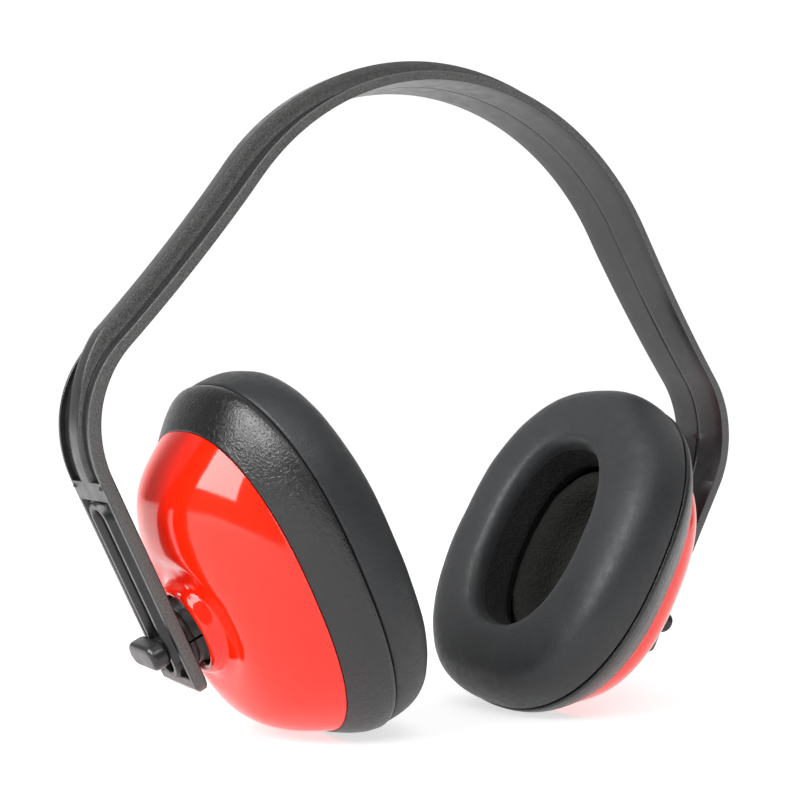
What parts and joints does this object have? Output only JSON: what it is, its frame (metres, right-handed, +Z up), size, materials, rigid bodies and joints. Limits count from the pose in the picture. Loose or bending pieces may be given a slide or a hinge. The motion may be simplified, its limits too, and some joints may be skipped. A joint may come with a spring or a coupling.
{
  "type": "earmuff hearing protector",
  "caption": "Over-the-head hearing protector: sprung plastic headband with slotted arms, sliding ball-pivot ear cups and soft sealing cushions.",
  "frame": {"origin": "middle of the surface that the two cups stand on", "axes": "+X towards the wearer's right cup, +Y towards the back of the head, +Z up to the crown"},
  "size_m": [0.2204, 0.0858, 0.1886],
  "materials": {
    "band": "satin",
    "collar": "satin",
    "shell": "gloss",
    "ring": "fine grain, semi-gloss",
    "plate": "matte",
    "film": "matte",
    "foam": "open-cell foam",
    "cushion": "soft matt leatherette"
  },
  "bodies": {
    "headband": {"headband": "band"},
    "left_slider": {"left_slider_knob": "band"},
    "left_collar": {"left_swivel_collar": "collar"},
    "left_cup": {"left_cup_shell": "shell", "left_backing_ring": "ring", "left_liner_foam": "foam", "left_cushion_plate": "plate", "left_cushion_film": "film", "left_cushion_foam": "foam", "left_cushion_cover": "cushion"},
    "right_slider": {"right_slider_knob": "band"},
    "right_collar": {"right_swivel_collar": "collar"},
    "right_cup": {"right_cup_shell": "shell", "right_backing_ring": "ring", "right_liner_foam": "foam", "right_cushion_plate": "plate", "right_cushion_film": "film", "right_cushion_foam": "foam", "right_cushion_cover": "cushion"}
  },
  "joints": [
    {"name": "left_height", "type": "slide", "parent": "headband", "child": "left_slider", "axis": [-0.4617, 0, 0.887], "range_m": [-0.0025, 0.014]},
    {"name": "left_swivel", "type": "hinge", "parent": "left_slider", "child": "left_collar", "pos_m": [-0.07161, 0, 0.03218], "axis": [-0.887, 0, -0.4617], "range_deg": [-15, 15]},
    {"name": "left_tilt", "type": "hinge", "parent": "left_collar", "child": "left_cup", "pos_m": [-0.07161, 0, 0.03218], "axis": [0, 1, 0], "range_deg": [-8, 8]},
    {"name": "right_height", "type": "slide", "parent": "headband", "child": "right_slider", "axis": [0.4617, 0, 0.887], "range_m": [-0.0025, 0.014]},
    {"name": "right_swivel", "type": "hinge", "parent": "right_slider", "child": "right_collar", "pos_m": [0.07161, 0, 0.03218], "axis": [0.887, 0, -0.4617], "range_deg": [-15, 15]},
    {"name": "right_tilt", "type": "hinge", "parent": "right_collar", "child": "right_cup", "pos_m": [0.07161, 0, 0.03218], "axis": [0, 1, 0], "range_deg": [-8, 8]}
  ]
}
